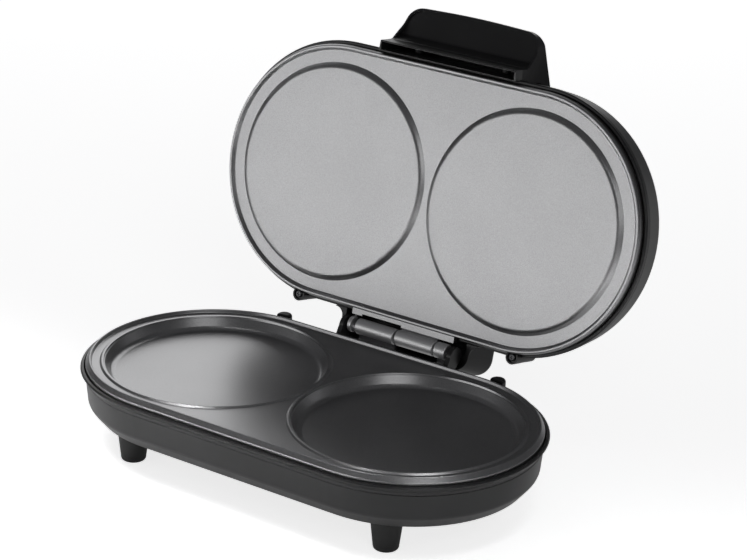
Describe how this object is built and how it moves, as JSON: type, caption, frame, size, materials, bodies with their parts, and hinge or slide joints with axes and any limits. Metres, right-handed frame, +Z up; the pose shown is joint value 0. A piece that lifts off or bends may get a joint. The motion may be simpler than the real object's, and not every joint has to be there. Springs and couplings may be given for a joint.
{
  "type": "pancake maker",
  "caption": "Double pancake maker with a hinged lid: two round dishes in the lower plate, raised discs in the lid, plastic shells, feet and a scooped handle.",
  "frame": {"origin": "on the table under the middle of the open machine", "axes": "+Z up, +X to the right along the machine's length, +Y to the rear where the hinge is"},
  "size_m": [0.2862, 0.2335, 0.2308],
  "materials": {
    "black_plastic": "satin moulded plastic, near black",
    "cast_plate": "die-cast aluminium with a grey non-stick coat",
    "foot_rubber": "matt black rubber",
    "zinc_steel": "zinc-plated steel",
    "heater_tube": "aluminium-sheathed heating tube",
    "ceramic": "glazed ceramic bush",
    "reflector_sheet": "bright aluminised sheet",
    "bare_aluminium": "bare aluminium",
    "inner_plastic": "pale heat-proof plastic",
    "lead_insulation": "braided heat-proof sleeve",
    "red_lens": "clear red plastic",
    "green_lens": "clear green plastic",
    "lamp_glass": "clear glass bulb"
  },
  "bodies": {
    "base": {"base_tub": "black_plastic", "base_frame": "black_plastic", "lower_plate": "cast_plate", "foot_front_left": "foot_rubber", "foot_front_right": "foot_rubber", "foot_rear_left": "foot_rubber", "foot_rear_right": "foot_rubber", "lower_element": "heater_tube", "lower_element_terminals": "ceramic", "lower_element_clamps": "zinc_steel", "lower_clamp_screws": "zinc_steel", "lower_reflector": "reflector_sheet", "lower_reflector_screws": "zinc_steel", "lower_plate_screws": "zinc_steel", "base_frame_screws": "zinc_steel", "thermostat": "bare_aluminium", "terminal_block": "inner_plastic", "terminal_screws": "zinc_steel", "cord_gland": "black_plastic", "gland_nut": "zinc_steel", "base_leads": "lead_insulation", "hinge_pin": "zinc_steel"},
    "lid": {"lid_cover": "black_plastic", "lid_frame": "black_plastic", "handle": "black_plastic", "upper_plate": "cast_plate", "upper_element": "heater_tube", "upper_element_terminals": "ceramic", "upper_element_clamps": "zinc_steel", "upper_clamp_screws": "zinc_steel", "upper_reflector": "reflector_sheet", "upper_reflector_screws": "zinc_steel", "upper_plate_screws": "zinc_steel", "lid_frame_screws": "zinc_steel", "handle_screws": "zinc_steel", "thermal_fuse": "bare_aluminium", "fuse_strap": "zinc_steel", "power_lens": "red_lens", "ready_lens": "green_lens", "neon_lamps": "lamp_glass", "lamp_holder": "inner_plastic", "lid_leads": "lead_insulation"}
  },
  "joints": [
    {"name": "lid_hinge", "type": "hinge", "parent": "base", "child": "lid", "pos_m": [0, 0.0457, 0.0527], "axis": [1, 0, 0], "range_deg": [0, 103.6]}
  ]
}
